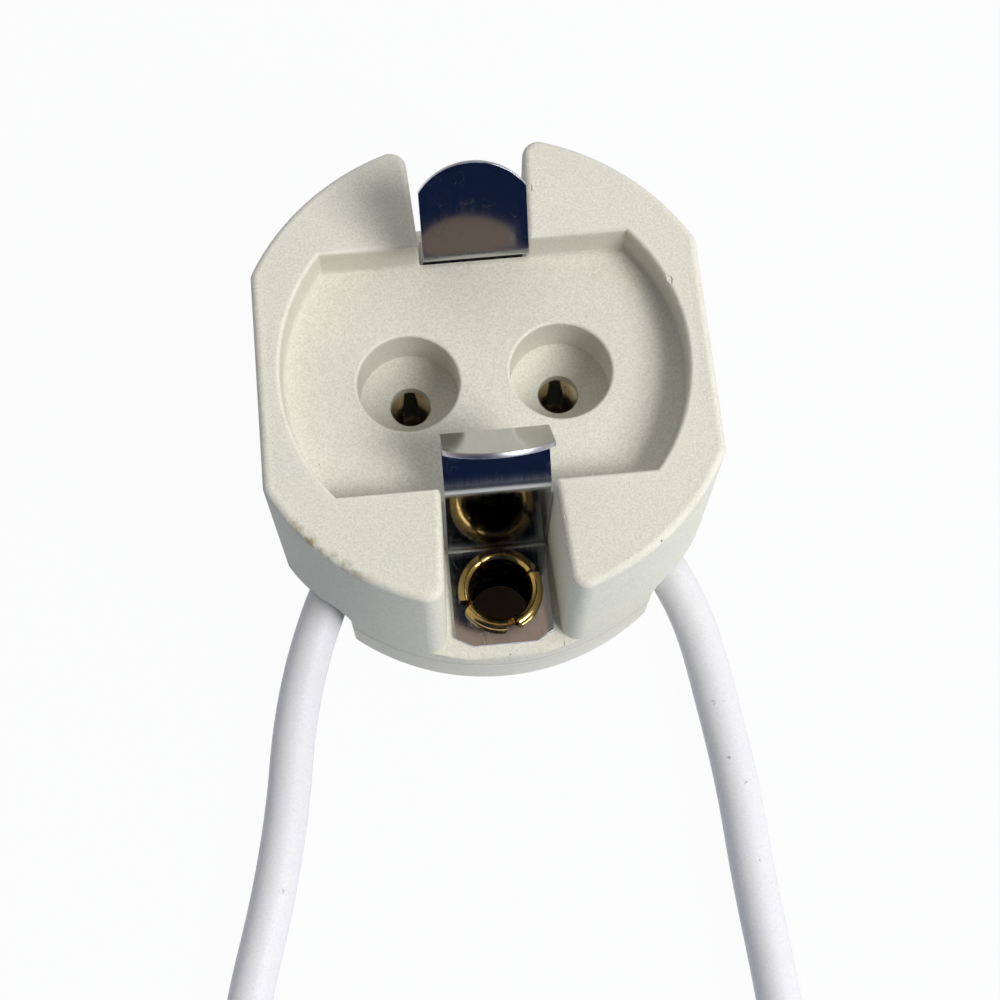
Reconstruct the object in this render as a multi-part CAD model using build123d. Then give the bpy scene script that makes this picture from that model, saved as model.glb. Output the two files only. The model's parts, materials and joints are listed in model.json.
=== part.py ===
from build123d import *
import math
import os

# A two-pin ceramic lamp holder, in millimetres. X runs across the two lamp pins, Y from the front
# clip to the back clip, +Z up out of the lamp recess. The origin is the bottom centre of the base.

# Steatite body
body_height = 22.5
side_wall = 1.8
end_bulge = 2.3
body_draft = 0.2
parting_height = 4.4
corner_fillet = 1.2
top_fillet = 0.65
base_fillet = 0.3

# Recess that takes the lamp's ceramic cap
recess_radius = 15.7
recess_width = 20.0
recess_depth = 3.35
recess_floor_fillet = 0.4
recess_rim_fillet = 0.3
recess_corner_fillet = 0.35

# Slots that carry the spring clips
slot_inner_width = 8.55
slot_flare = 0.5
slot_floor_height = 7.1
slot_mouth_fillet = 1.3
slot_lip_radius = 1.2

# Wells and holes that guide the lamp pins
pin_spacing = 12.0
well_diameter = 8.0
well_depth = 4.1
well_cone_depth = 1.1
well_rim_fillet = 0.25
pin_hole_diameter = 3.3

# Underside: the band the holder stands on, the eaves beside it, chambers and lead channels
band_width = 24.8
eave_height = 3.8
eave_crown_height = 7.6
eave_crown_land = 0.1
eave_fillet = 1.1
chamber_length = 7.0
chamber_width = 6.4
chamber_height = 13.0
channel_side_gap = 0.6
channel_headroom = 0.45

# Mica backing plate, riveted into the underside
plate_width = 20.8
plate_thickness = 0.8
plate_recess_depth = 1.45
plate_clearance = 0.2

# Hollow brass rivets with a rolled and split rim
eyelet_bore = 5.0
eyelet_wall = 0.4
eyelet_clearance = 0.1
eyelet_roll_diameter = 7.05
eyelet_roll_height = 0.95
eyelet_roll_gap = 0.025
eyelet_head_diameter = 7.0
eyelet_head_thickness = 0.5
split_width = 0.62
split_angles = (25.0, 119.0, 200.0, 283.0)
crack_width = 0.16
crack_index = 1

# Stainless spring clips
strip_thickness = 0.4
strip_side_gap = 0.25
foot_margin = 4.4
foot_chamfer_length = 0.8
foot_chamfer_width = 1.4
heel_gap = 0.05
heel_radius = 0.65
ridge_gap = 0.2
ridge_above_body = 0.1
ridge_radius = 0.7
nose_reach = 3.25
nose_above_body = 3.2
nose_radius = 1.0
tip_overhang = 1.4
tip_above_body = 9.85
tip_arc_radius = 4.8

# Two-leaf contact sleeves, their retaining springs and their crimps
contact_thickness = 0.35
contact_mouth_radius = 2.4
contact_throat_radius = 1.2
contact_ring_radius = 1.45
contact_mouth_gap = 0.35
contact_depth = 6.65
contact_ring_length = 1.4
contact_throat_rise = 4.6
contact_bend_radius = 1.5
contact_slit_mouth = 0.5
contact_slit_width = 1.4
tail_width = 2.2
tail_clearance = 0.1
barrel_start = 2.3
barrel_length = 3.6
barrel_wall = 0.75
barrel_notch = 0.5
spring_wire_thickness = 0.25
spring_height = 2.0
spring_gap_width = 1.2
spring_clearance = 0.05
spring_drop = 1.6

# Silicone leads
lead_diameter = 3.6
lead_clearance = 0.1
lead_floor_clearance = 0.05
lead_splay = 36.0
lead_start = 7.0
conductor_diameter = 1.4
conductor_clearance = 0.05
tinned_length = 6.0
straight_length = 5.4
curl_turn = 30.0
left_curl_step = 14.0
left_curl_count = 5
right_curl_step = 8.9
right_curl_count = 8
bend_share = 0.45
left_lead_points = (
    (-16.2, -16.2, 0.3),
    (-18.0, -22.7, 0),
    (-18.9, -29.5, 0),
    (-20.6, -37.0, 0),
    (-23.0, -44.6, 0),
    (-24.6, -53.0, 0),
    (-25.7, -60.5, 0),
    (-26.2, -68.6, 0),
    (-26.2, -78.0, 0),
)
right_lead_points = (
    (16.3, -16.4, 0.3),
    (17.3, -23.6, 0),
    (18.1, -31.0, 0),
    (18.3, -38.6, 0),
    (18.9, -46.5, 0),
    (19.2, -55.0, 0),
    (19.5, -62.0, 0),
    (19.6, -69.2, 0),
    (19.3, -78.0, 0),
)

# How near two measures lie when edges are picked by their place
near = 0.01

# Places worked out from the sizes above
across_flats = 2 * (recess_radius + side_wall)
body_radius = across_flats / 2 + end_bulge
recess_floor = body_height - recess_depth
well_floor = recess_floor - well_depth
cone_floor = well_floor - well_cone_depth
slot_end = recess_width / 2
slot_outer_width = slot_inner_width + 2 * slot_flare
strip_width = slot_inner_width - 2 * strip_side_gap
rivet_y = slot_end + heel_gap + heel_radius + eyelet_roll_diameter / 2 + eyelet_roll_gap
eyelet_outer_radius = eyelet_bore / 2 + eyelet_wall
eyelet_hole_radius = eyelet_outer_radius + eyelet_clearance
plate_bottom = plate_recess_depth - plate_thickness
plate_radius = rivet_y + eyelet_head_diameter / 2
foot_top = slot_floor_height + strip_thickness
lead_radius = lead_diameter / 2
lead_level = plate_recess_depth + lead_clearance + lead_radius
table_level = lead_floor_clearance + lead_radius
channel_width = lead_diameter + 2 * channel_side_gap
channel_height = lead_level + lead_radius + channel_headroom
contact_mouth_height = chamber_height - contact_mouth_gap
contact_ring_height = contact_mouth_height - contact_depth
contact_ring_top = contact_ring_height + contact_ring_length
contact_throat_height = contact_ring_height + contact_throat_rise
splay = math.radians(lead_splay)


def pin_x(side):
    """X of a lamp pin; side is -1 on the left and +1 on the right."""
    return side * pin_spacing / 2


def along_lead(side, distance, height):
    """A point on the straight line in which a lead leaves its pin's chamber."""
    return (pin_x(side) + side * distance * math.sin(splay), -distance * math.cos(splay), height)


def lead_plane(side, distance, height):
    """A plane across a lead's straight start, with its normal along the lead and its Y up."""
    direction = (side * math.sin(splay), -math.cos(splay), 0)
    return Plane(origin=along_lead(side, distance, height), x_dir=(0, 0, 1), z_dir=direction)


def plate_outline(clearance=0.0):
    """Outline of the backing plate: a disc with two straight sides."""
    with BuildSketch() as outline:
        Circle(plate_radius + clearance)
        Rectangle(plate_width + 2 * clearance, 2 * body_radius, mode=Mode.INTERSECT)
    return outline.sketch


def is_slot_mouth(edge):
    """Whether an edge stands where a slot's wall meets the round outside."""
    tall = edge.bounding_box().size.Z > body_height / 2
    return tall and abs(edge.center().X) < slot_outer_width and abs(edge.center().Y) > slot_end + near


def outer_form():
    """The pressed block: drafted and round, with two flats, both slots and softened edges."""
    top_radius = body_radius - body_draft
    foot_radius = body_radius - body_draft / 2
    with BuildPart() as block:
        with BuildSketch(Plane.XZ):
            Polygon(
                (0, 0),
                (foot_radius, 0),
                (body_radius, parting_height),
                (top_radius, body_height),
                (0, body_height),
                align=None,
            )
        revolve(axis=Axis.Z)
        with BuildSketch():
            Rectangle(across_flats, 2 * body_radius + 2)
        extrude(amount=body_height, mode=Mode.INTERSECT)
        flats = block.faces().filter_by(Axis.X)
        fillet(flats.edges().filter_by(Axis.Y, reverse=True), corner_fillet)
        cut_at_both_ends(clip_slot())
        fillet(block.edges().filter_by(is_slot_mouth), slot_mouth_fillet)
        rim = block.faces().sort_by(Axis.Z)[-1].edges()
        fillet(rim.filter_by(lambda edge: abs(abs(edge.center().Y) - slot_end) > near), top_fillet)
        fillet(block.faces().sort_by(Axis.Z)[0].edges(), base_fillet)
        cut_at_both_ends(slot_lip())
    return block.part


def cut_at_both_ends(tool):
    """Cut the part being built with a tool at the back, and with the same tool at the front."""
    add(tool, mode=Mode.SUBTRACT)
    add(tool.rotate(Axis.Z, 180), mode=Mode.SUBTRACT)


def clip_slot():
    """Tool for the back slot, which gets a little wider towards its mouth."""
    reach = body_radius + 1
    half_in = slot_inner_width / 2
    half_out = half_in + slot_flare * (reach - slot_end) / (body_radius - slot_end)
    with BuildPart() as slot:
        with BuildSketch(Plane.XY.offset(slot_floor_height)):
            Polygon(
                (-half_in, slot_end),
                (half_in, slot_end),
                (half_out, reach),
                (-half_out, reach),
                align=None,
            )
        extrude(amount=body_height)
    return slot.part


def slot_lip():
    """Tool that rounds over the outer end of the back slot's floor."""
    reach = body_radius + 1
    start = body_radius - slot_lip_radius
    low = slot_floor_height - slot_lip_radius
    with BuildPart() as lip:
        with BuildSketch(Plane.YZ):
            with BuildLine():
                Polyline(
                    (body_radius, low),
                    (reach, low),
                    (reach, slot_floor_height),
                    (start, slot_floor_height),
                )
                CenterArc((start, low), slot_lip_radius, 0, 90)
            make_face()
        extrude(amount=slot_outer_width / 2, both=True)
    return lip.part


def lamp_recess():
    """Tool for the flat-sided round recess: open into both slots, with a soft floor edge and a soft rim."""
    opening = 3 * recess_corner_fillet
    with BuildPart() as recess:
        with BuildSketch(Plane.XY.offset(recess_floor)) as outline:
            Circle(recess_radius)
            Rectangle(2 * recess_radius, recess_width, mode=Mode.INTERSECT)
            Rectangle(slot_inner_width, recess_width + 2 * opening)
            beside_slots = outline.vertices().filter_by(
                lambda vertex: abs(abs(vertex.X) - slot_inner_width / 2) < near)
            corners = beside_slots.filter_by(lambda vertex: abs(abs(vertex.Y) - slot_end) < near)
            fillet(corners, recess_corner_fillet)
        extrude(amount=recess_depth)
        fillet(recess.faces().sort_by(Axis.Z)[0].edges(), recess_floor_fillet)
        with BuildSketch(Plane.XY.offset(body_height)):
            Rectangle(2 * (recess_radius + side_wall), recess_width + 2 * opening)
        extrude(amount=recess_depth)
        seams = recess.edges().filter_by_position(Axis.Z, body_height - near, body_height + near)
        fillet(seams.filter_by(lambda edge: abs(edge.center().Y) < slot_end + opening - near
                               and abs(edge.center().X) < recess_radius + near), recess_rim_fillet)
    return recess.part


def pin_well():
    """The well, its cone and the pin hole, on the Z axis, down into the chamber."""
    hole = pin_hole_diameter / 2
    well = well_diameter / 2
    with BuildPart() as cut:
        with BuildSketch(Plane.XZ):
            Polygon(
                (0, chamber_height - 1),
                (hole, chamber_height - 1),
                (hole, cone_floor),
                (well, well_floor),
                (well, recess_floor + 1),
                (0, recess_floor + 1),
                align=None,
            )
        revolve(axis=Axis.Z)
    return cut.part


def eave_relief():
    """The open space under the right-hand side wall, where a lead runs out."""
    inner = band_width / 2
    crown = inner + eave_fillet + eave_crown_land
    outer = across_flats / 2
    slope = (eave_crown_height - eave_height) / (outer - crown)
    reach = outer + 1
    with BuildPart() as relief:
        with BuildSketch(Plane.XZ) as section:
            Polygon(
                (inner, -1),
                (inner, eave_crown_height),
                (crown, eave_crown_height),
                (reach, eave_height - slope),
                (reach, -1),
                align=None,
            )
            corners = section.vertices().group_by(Axis.Y)[-1]
            fillet(corners.sort_by(Axis.X)[0], eave_fillet)
        extrude(amount=body_radius + 1, both=True)
    return relief.part


def lead_channel(side):
    """The slanted channel from a chamber out through the band's side."""
    with BuildPart() as channel:
        with BuildSketch(Plane.XY.offset(-1)):
            with Locations((pin_x(side), 0)):
                Rectangle(
                    channel_width,
                    band_width,
                    rotation=side * lead_splay,
                    align=(Align.CENTER, Align.MAX),
                )
            Rectangle(band_width, 2 * body_radius, mode=Mode.INTERSECT)
        extrude(amount=channel_height + 1)
    return channel.part


def chamber(side):
    """The chamber above the backing plate that holds one contact."""
    height = chamber_height - plate_recess_depth
    room = Box(chamber_length, chamber_width, height, align=(Align.CENTER, Align.CENTER, Align.MIN))
    return Pos(pin_x(side), 0, plate_recess_depth) * room


def ceramic_body():
    """The steatite body, as pressed and fired in one piece."""
    body = outer_form() - lamp_recess()
    body -= extrude(plate_outline(plate_clearance), plate_recess_depth)
    relief = eave_relief()
    body -= relief
    body -= mirror(relief, Plane.YZ)
    for side in (-1, 1):
        body -= Pos(pin_x(side), 0, 0) * pin_well()
        body -= chamber(side)
        body -= lead_channel(side)
        body -= Pos(0, side * rivet_y, 0) * Cylinder(eyelet_hole_radius, 3 * slot_floor_height)
    at_floor = body.edges().filter_by(GeomType.CIRCLE).filter_by_position(
        Axis.Z, recess_floor - near, recess_floor + near)
    well_rims = at_floor.filter_by(lambda edge: abs(edge.radius - well_diameter / 2) < near)
    return body.fillet(well_rim_fillet, well_rims)


def backing_plate():
    """The plate that closes the chambers, with a hole for each rivet."""
    plate = Pos(0, 0, plate_bottom) * extrude(plate_outline(), plate_thickness)
    for side in (-1, 1):
        plate -= Pos(0, side * rivet_y, 0) * Cylinder(eyelet_hole_radius, 3 * plate_recess_depth)
    return plate


def eyelet():
    """A hollow rivet on the Z axis: a flat head below, a tube, and a rolled rim split by the setting."""
    bore = eyelet_bore / 2
    head = eyelet_head_diameter / 2
    roll = eyelet_roll_diameter / 2
    head_bottom = plate_bottom - eyelet_head_thickness
    crest = ((bore + roll) / 2, foot_top + eyelet_roll_height)
    with BuildPart() as rivet:
        with BuildSketch(Plane.XZ):
            with BuildLine():
                Polyline(
                    (bore, foot_top + eyelet_roll_height / 3),
                    (bore, head_bottom),
                    (head, head_bottom),
                    (head, plate_bottom),
                    (eyelet_outer_radius, plate_bottom),
                    (eyelet_outer_radius, foot_top),
                    (roll - eyelet_wall / 2, foot_top),
                    (roll, foot_top + eyelet_roll_height / 3),
                )
                ThreePointArc(
                    (roll, foot_top + eyelet_roll_height / 3),
                    crest,
                    (bore, foot_top + eyelet_roll_height / 3),
                )
            make_face()
        revolve(axis=Axis.Z)
        for index, angle in enumerate(split_angles):
            width = crack_width if index == crack_index else split_width
            with BuildSketch(Plane.XY.offset(foot_top)):
                with Locations(Rot(0, 0, angle)):
                    Polygon((bore - 0.1, 0), (roll + 0.1, -width / 2), (roll + 0.1, width / 2), align=None)
            extrude(amount=2 * eyelet_roll_height, mode=Mode.SUBTRACT)
    return rivet.part


def spring_clip():
    """The back clip: foot, upright, ridge, nose and flared tab, bent from one strip."""
    ridge = (slot_end + ridge_gap, body_height + ridge_above_body)
    nose = (slot_end - nose_reach, body_height + nose_above_body)
    tip = (slot_end + tip_overhang, body_height + tip_above_body)
    heel = (slot_end + heel_gap, slot_floor_height)
    with BuildPart() as clip:
        with BuildSketch(Plane.YZ):
            with BuildLine():
                FilletPolyline(
                    (rivet_y + foot_margin, slot_floor_height),
                    heel,
                    ridge,
                    nose,
                    tip,
                    radius=[heel_radius, ridge_radius, nose_radius],
                )
                offset(amount=strip_thickness, side=Side.RIGHT)
            make_face()
        extrude(amount=strip_width / 2, both=True)
        foot_corners = clip.edges().filter_by(Axis.Z).sort_by(Axis.Y)[-2:]
        foot_end = clip.faces().sort_by(Axis.Y)[-1]
        chamfer(foot_corners, foot_chamfer_width, foot_chamfer_length, reference=foot_end)
        with Locations((0, rivet_y, slot_floor_height)):
            Cylinder(eyelet_hole_radius, 4 * strip_thickness, mode=Mode.SUBTRACT)
    rise = Vector(0, tip[0] - nose[0], tip[1] - nose[1]).normalized()
    tab = Plane(origin=(0, *tip), x_dir=(1, 0, 0), z_dir=Vector(1, 0, 0).cross(rise))
    with BuildPart() as trim:
        with BuildSketch(tab):
            Rectangle(strip_width + 1, 2 * tip_arc_radius)
            with Locations((0, -tip_arc_radius)):
                Circle(tip_arc_radius, mode=Mode.SUBTRACT)
                Rectangle(strip_width + 1, tip_arc_radius, mode=Mode.SUBTRACT)
        extrude(amount=3 * strip_thickness, both=True)
    return clip.part - trim.part


def contact_sleeve():
    """The two-leaf sleeve on the Z axis: a ring, a throat, and leaves that flare and widen to the mouth."""
    with BuildPart() as sleeve:
        with BuildSketch(Plane.XZ):
            with BuildLine():
                FilletPolyline(
                    (contact_ring_radius, contact_ring_height),
                    (contact_ring_radius, contact_ring_top),
                    (contact_throat_radius, contact_throat_height),
                    (contact_mouth_radius, contact_mouth_height),
                    radius=contact_bend_radius,
                )
                offset(amount=contact_thickness, side=Side.RIGHT)
            make_face()
        revolve(axis=Axis.Z)
        with BuildSketch(Plane.XZ):
            Polygon(
                (-contact_slit_width / 2, contact_ring_top),
                (contact_slit_width / 2, contact_ring_top),
                (contact_slit_width / 2, contact_throat_height),
                (contact_slit_mouth / 2, chamber_height),
                (-contact_slit_mouth / 2, chamber_height),
                (-contact_slit_width / 2, contact_throat_height),
                align=None,
            )
        extrude(amount=2 * contact_mouth_radius, both=True, mode=Mode.SUBTRACT)
    return sleeve.part


def crimp_barrel(side):
    """The folded crimp round the conductor, with the groove where its wings meet."""
    inner = conductor_diameter / 2 + conductor_clearance
    outer = inner + barrel_wall
    with BuildPart() as barrel:
        with BuildSketch(lead_plane(side, barrel_start, lead_level)):
            Circle(outer)
            Circle(inner, mode=Mode.SUBTRACT)
            Polygon(
                (outer + 0.1, -barrel_notch),
                (outer + 0.1, barrel_notch),
                (outer - barrel_notch, 0),
                align=None,
                mode=Mode.SUBTRACT,
            )
        extrude(amount=barrel_length)
    return barrel.part


def contact_tail(side):
    """The strip that drops from the ring and runs out under the crimp."""
    drop = contact_ring_radius + contact_thickness
    low = plate_recess_depth + tail_clearance
    along = (side * math.sin(splay), -math.cos(splay), 0)
    across = (-math.cos(splay), -side * math.sin(splay), 0)
    section = Plane(origin=(pin_x(side), 0, 0), x_dir=along, z_dir=across)
    with BuildPart() as tail:
        with BuildSketch(section):
            with BuildLine():
                Polyline(
                    (drop - contact_thickness, contact_ring_height + contact_ring_length / 2),
                    (drop - contact_thickness, low),
                    (barrel_start + barrel_length, low),
                    (barrel_start + barrel_length, lead_level - conductor_diameter),
                    (drop, lead_level - conductor_diameter),
                    (drop, contact_ring_height + contact_ring_length / 2),
                    close=True,
                )
            make_face()
        extrude(amount=tail_width / 2, both=True)
    return tail.part


def contact(side):
    """One formed brass contact, from its flared leaves to its crimp."""
    inner = conductor_diameter / 2 + conductor_clearance
    hollow = Cylinder(contact_ring_radius, 4 * contact_ring_height)
    with BuildPart() as passage:
        with BuildSketch(lead_plane(side, barrel_start, lead_level)):
            Circle(inner)
        extrude(amount=barrel_length)
    tail = contact_tail(side) - Pos(pin_x(side), 0, 0) * hollow - passage.part
    return Pos(pin_x(side), 0, 0) * contact_sleeve() + tail + crimp_barrel(side)


def contact_spring():
    """A steel C-spring, on the Z axis, that closes the leaves on the pin."""
    taper = (contact_ring_radius - contact_throat_radius) / (contact_throat_height - contact_ring_top)
    widening = taper * (spring_drop + spring_height / 2)
    inner = contact_throat_radius + widening + contact_thickness + spring_clearance
    ring = Cylinder(inner + spring_wire_thickness, spring_height) - Cylinder(inner, spring_height)
    gap = Pos(0, inner, 0) * Box(spring_gap_width, 2 * inner, spring_height)
    return Pos(0, 0, contact_throat_height - spring_drop) * (ring - gap)


def conductor(side):
    """The stripped conductor between the crimp and the lead's end."""
    with BuildPart() as wire:
        with BuildSketch(lead_plane(side, barrel_start, lead_level)):
            Circle(conductor_diameter / 2)
        extrude(amount=lead_start - barrel_start)
    return wire.part


def curl(points, side):
    """Points of the loose ring in which a lead's far end lies: the right one lies inside the left one."""
    step, count = (left_curl_step, left_curl_count) if side < 0 else (right_curl_step, right_curl_count)
    (x0, y0, _), (x, y, z) = points[-2:]
    heading = math.atan2(y - y0, x - x0)
    turned = []
    for _ in range(count):
        heading -= side * math.radians(curl_turn)
        x += step * math.cos(heading)
        y += step * math.sin(heading)
        turned.append((x, y, z))
    return turned


def lead_route(side):
    """Control points of a lead: out of its channel, down to the table, forward and into its ring."""
    chosen = left_lead_points if side < 0 else right_lead_points
    points = [
        along_lead(side, lead_start, lead_level),
        along_lead(side, lead_start + straight_length, lead_level),
    ]
    points += [(x, y, z + table_level) for x, y, z in chosen]
    return points + curl(points, side)


def route_radii(points):
    """The arc at each corner: a share of the shorter run, divided by the tangent of half the turn."""
    radii = []
    for before, corner, after in zip(points, points[1:], points[2:]):
        first = Vector(*corner) - Vector(*before)
        second = Vector(*after) - Vector(*corner)
        half_turn = math.radians(first.get_angle(second) / 2)
        radii.append(bend_share * min(first.length, second.length) / math.tan(half_turn))
    return radii


def lead(side):
    """A silicone lead as a plain round tube along its route."""
    points = lead_route(side)
    radii = route_radii(points)
    path = FilletPolyline(*points, radius=radii)
    with BuildPart() as tube:
        with BuildSketch(Plane(origin=path @ 0, z_dir=path % 0)):
            Circle(lead_radius)
        sweep(path=path)
    section = math.pi * lead_radius ** 2
    print("lead", side, "length", round(path.length, 1), "radii", [round(radius, 1) for radius in radii])
    print("  volume", round(tube.part.volume, 2), "section x length", round(section * path.length, 2))
    return tube.part


def tinned_end(side):
    """The stripped and tinned end of a lead, straight on from its insulation."""
    points = lead_route(side)
    last = Vector(*points[-1])
    heading = (last - Vector(*points[-2])).normalized()
    with BuildPart() as end:
        with BuildSketch(Plane(origin=last, z_dir=heading)):
            Circle(conductor_diameter / 2)
        extrude(amount=tinned_length)
    return end.part


def build():
    """Make every piece, by node name."""
    rivet = eyelet()
    clip = spring_clip()
    pieces = {
        "ceramic_body": ceramic_body(),
        "backing_plate": backing_plate(),
        "clip_back": clip,
        "clip_front": clip.rotate(Axis.Z, 180),
        "eyelet_front": Pos(0, -rivet_y, 0) * rivet,
        "eyelet_back": Pos(0, rivet_y, 0) * rivet.rotate(Axis.Z, 180),
    }
    for name, side in (("left", -1), ("right", 1)):
        pieces["contact_" + name] = contact(side)
        pieces["contact_spring_" + name] = Pos(pin_x(side), 0, 0) * contact_spring()
        pieces["conductor_" + name] = conductor(side)
        pieces["lead_" + name] = lead(side)
        pieces["tinned_end_" + name] = tinned_end(side)
    return pieces


os.makedirs("parts", exist_ok=True)
for node, solid in build().items():
    export_step(solid, f"parts/{node}.step")
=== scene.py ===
"""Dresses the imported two-pin ceramic lamp holder: steatite, spring clips, rivets, contacts and leads."""

import json
import logging
import math
import random
from dataclasses import dataclass
from enum import Enum
from functools import cache
from typing import ClassVar, Sequence

import bmesh
import bpy
from mathutils import Matrix, Vector, noise


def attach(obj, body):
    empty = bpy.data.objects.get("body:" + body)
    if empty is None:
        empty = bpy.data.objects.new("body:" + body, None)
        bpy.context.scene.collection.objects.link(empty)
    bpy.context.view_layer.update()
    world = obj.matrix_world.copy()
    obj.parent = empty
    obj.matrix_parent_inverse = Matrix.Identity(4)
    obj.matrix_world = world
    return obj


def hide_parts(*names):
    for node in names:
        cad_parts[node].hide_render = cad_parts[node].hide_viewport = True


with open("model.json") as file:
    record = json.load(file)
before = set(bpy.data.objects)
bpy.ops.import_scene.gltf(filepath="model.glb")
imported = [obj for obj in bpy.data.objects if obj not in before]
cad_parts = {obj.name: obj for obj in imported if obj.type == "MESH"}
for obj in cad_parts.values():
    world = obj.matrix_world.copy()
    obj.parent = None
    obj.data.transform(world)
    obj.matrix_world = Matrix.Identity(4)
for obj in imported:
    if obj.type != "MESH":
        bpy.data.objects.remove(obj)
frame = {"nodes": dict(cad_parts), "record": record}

logging.basicConfig(level=logging.INFO, format="%(levelname)s %(message)s")
LOG = logging.getLogger("lamp_holder")

MM = 0.001
Triple = tuple[float, float, float]
Pair = tuple[float, float]
Output = bpy.types.NodeSocket
Value = Output | float
Colour = Output | Triple

ORIGIN = (0.0, 0.0, 0.0)
WHITE = (1.0, 1.0, 1.0)
BODY = "root"
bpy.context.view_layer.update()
SHEARED = "sheared"
JOINED_WITHIN = 0.002 * MM
FLAT_WEIGHT = 80


class Side(Enum):
    """The two pins, seen from the front, with the sign of their X."""

    LEFT = -1
    RIGHT = 1

    @property
    def ending(self) -> str:
        """The ending of this side's node names."""
        return self.name.lower()


class End(Enum):
    """The two clips and rivets, with the sign of their Y."""

    FRONT = -1
    BACK = 1

    @property
    def ending(self) -> str:
        """The ending of this end's node names."""
        return self.name.lower()


class Slot(Enum):
    """The record's material slots of the pieces made here, listed but not used."""

    STEATITE = "steatite"
    STAINLESS = "stainless"
    BRASS = "brass"
    TINNED_COPPER = "tinned_copper"
    SILICONE = "silicone"


class Socket(Enum):
    """Kinds of socket on a shader node group."""

    VALUE = "NodeSocketFloat"
    VECTOR = "NodeSocketVector"


class Graph:
    """A node tree with short calls for the nodes that these finishes use."""

    def __init__(self, tree: bpy.types.NodeTree) -> None:
        """Start from an empty tree.

        Args:
            tree: The material's or the group's node tree.
        """
        self.tree = tree
        self.tree.nodes.clear()

    def add(self, kind: str, settings: dict | None = None, **inputs: Value | Colour) -> bpy.types.Node:
        """Add a node and fill its inputs.

        Args:
            kind: The node's class name.
            settings: Attributes to set on the node.
            inputs: Inputs by name, with underscores for spaces: a constant, or an output to link.

        Returns:
            The new node.
        """
        node = self.tree.nodes.new(kind)
        for name, value in (settings or {}).items():
            setattr(node, name, value)
        for name, value in inputs.items():
            self.put(node.inputs[name.replace("_", " ")], value)
        return node

    def put(self, socket: Output, value: Value | Colour) -> None:
        """Set a socket to a constant, or link it to another node's output.

        Args:
            socket: The input to fill.
            value: A constant, or the output to link.
        """
        if isinstance(value, Output):
            self.tree.links.new(value, socket)
        elif socket.type == "RGBA" and len(value) == 3:
            socket.default_value = (*value, 1.0)
        else:
            socket.default_value = value

    def maths(self, operation: str, *values: Value) -> Output:
        """The result of a Math node.

        Args:
            operation: Its operation.
            values: Its inputs in order.

        Returns:
            Its output.
        """
        node = self.add("ShaderNodeMath", {"operation": operation})
        for socket, value in zip(node.inputs, values):
            self.put(socket, value)
        return node.outputs[0]

    def ramp(self, value: Value, low: float, high: float, at_low: float = 0.0,
             at_high: float = 1.0) -> Output:
        """A clamped straight map of a value.

        Args:
            value: The output to map.
            low: Where the map starts.
            high: Where it ends.
            at_low: What it gives at its start.
            at_high: What it gives at its end.

        Returns:
            The mapped output.
        """
        node = self.add("ShaderNodeMapRange", {"clamp": True})
        for socket, number in zip(node.inputs, (value, low, high, at_low, at_high)):
            self.put(socket, number)
        return node.outputs[0]

    def mix(self, share: Value, first: Colour, second: Colour) -> Output:
        """Mix two colours.

        Args:
            share: How much of the second one shows.
            first: A colour or an output.
            second: A colour or an output.

        Returns:
            The mixed colour.
        """
        node = self.add("ShaderNodeMix", {"data_type": "RGBA"})
        colours = [socket for socket in node.inputs if socket.type == "RGBA"]
        self.put(node.inputs[0], share)
        self.put(colours[0], first)
        self.put(colours[1], second)
        return next(socket for socket in node.outputs if socket.type == "RGBA")

    def noise(self, place: Output, scale: Value, detail: float, roughness: float = 0.5) -> Output:
        """A noise texture's value, about 0.5 on average.

        Args:
            place: Where it is read.
            scale: Cells for each metre.
            detail: Octaves.
            roughness: Share kept from octave to octave.

        Returns:
            The value.
        """
        node = self.add("ShaderNodeTexNoise", Vector=place, Scale=scale, Detail=detail, Roughness=roughness)
        return node.outputs[0]

    def stretched(self, place: Output, scale: Triple) -> Output:
        """A place with its axes scaled, which stretches what is read there.

        Args:
            place: The place.
            scale: One factor for each axis.

        Returns:
            The scaled place.
        """
        node = self.add("ShaderNodeMapping", Vector=place)
        node.inputs["Scale"].default_value = scale
        return node.outputs[0]

    def near(self, place: Output, centre: Triple, inner: float, outer: float) -> Output:
        """A soft round patch.

        Args:
            place: Where it is read.
            centre: The patch's centre, in metres.
            inner: The radius inside which it is whole.
            outer: The radius at which it ends.

        Returns:
            The patch's mask.
        """
        away = self.add("ShaderNodeVectorMath", {"operation": "DISTANCE"})
        self.put(away.inputs[0], place)
        away.inputs[1].default_value = centre
        return self.ramp(away.outputs["Value"], inner, outer, 1.0, 0.0)

    def bump(self, height: Value, distance: float, strength: float,
             normal: Output | None = None) -> Output:
        """A bumped normal.

        Args:
            height: The height, from 0 to 1.
            distance: How far 1 stands out, in metres.
            strength: How much of it shows.
            normal: The normal to start from.

        Returns:
            The new normal.
        """
        node = self.add("ShaderNodeBump", Height=height, Distance=distance, Strength=strength)
        if normal is not None:
            self.put(node.inputs["Normal"], normal)
        return node.outputs[0]

    def object_place(self) -> Output:
        """The object coordinates, which are the holder's own frame in metres."""
        return self.add("ShaderNodeTexCoord").outputs["Object"]

    def axes(self, place: Output) -> bpy.types.NodeOutputs:
        """The X, Y and Z of a place, as three outputs."""
        return self.add("ShaderNodeSeparateXYZ", Vector=place).outputs

    def size_of(self, value: Value) -> Output:
        """A value without its sign."""
        return self.maths("ABSOLUTE", value)

    def times(self, first: Value, second: Value) -> Output:
        """The product of two values or masks."""
        return self.maths("MULTIPLY", first, second)

    def minus(self, first: Value, second: Value) -> Output:
        """The first value less the second."""
        return self.maths("SUBTRACT", first, second)

    def either(self, first: Value, second: Value) -> Output:
        """The larger of two values, which joins two masks."""
        return self.maths("MAXIMUM", first, second)

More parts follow.
